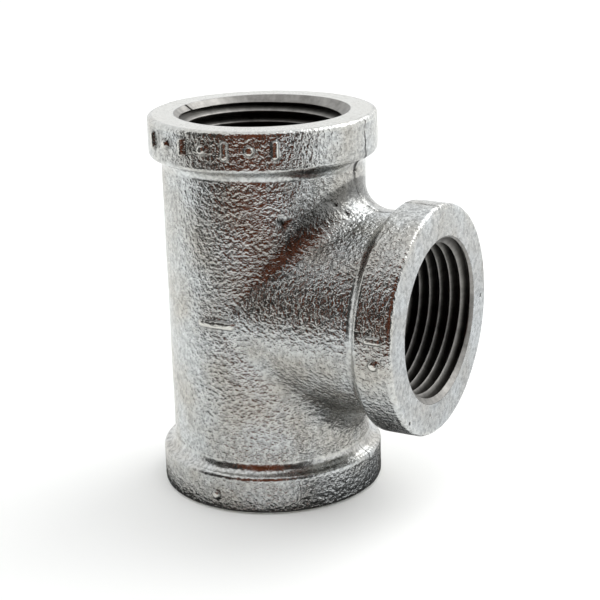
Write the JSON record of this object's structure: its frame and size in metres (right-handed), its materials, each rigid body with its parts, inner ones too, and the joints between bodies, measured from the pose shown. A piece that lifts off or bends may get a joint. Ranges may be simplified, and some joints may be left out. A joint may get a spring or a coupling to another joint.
{
  "type": "pipe tee fitting",
  "caption": "Banded pipe tee with a straight run and a side branch at right angles, raised bands at the ends and internal taper pipe threads.",
  "frame": {"origin": "on the surface that the lower end stands on, under the middle of the fitting's bounding box; the run's axis is at x = -7.8 mm", "axes": "+Z along the straight run, up; +X along the branch, out of its mouth; +Y completes the right-handed frame"},
  "size_m": [0.0606, 0.0458, 0.0762],
  "materials": {
    "galvanised_iron": "hot-dip galvanised as-cast malleable iron, fine hammered grain, satin",
    "tapped_iron": "bare iron cut by the tap after galvanising, oiled, semi-gloss"
  },
  "bodies": {
    "root": {"tee_body": "galvanised_iron", "top_band": "galvanised_iron", "bottom_band": "galvanised_iron", "branch_band": "galvanised_iron", "top_thread": "tapped_iron", "bottom_thread": "tapped_iron", "branch_thread": "tapped_iron"}
  },
  "joints": []
}
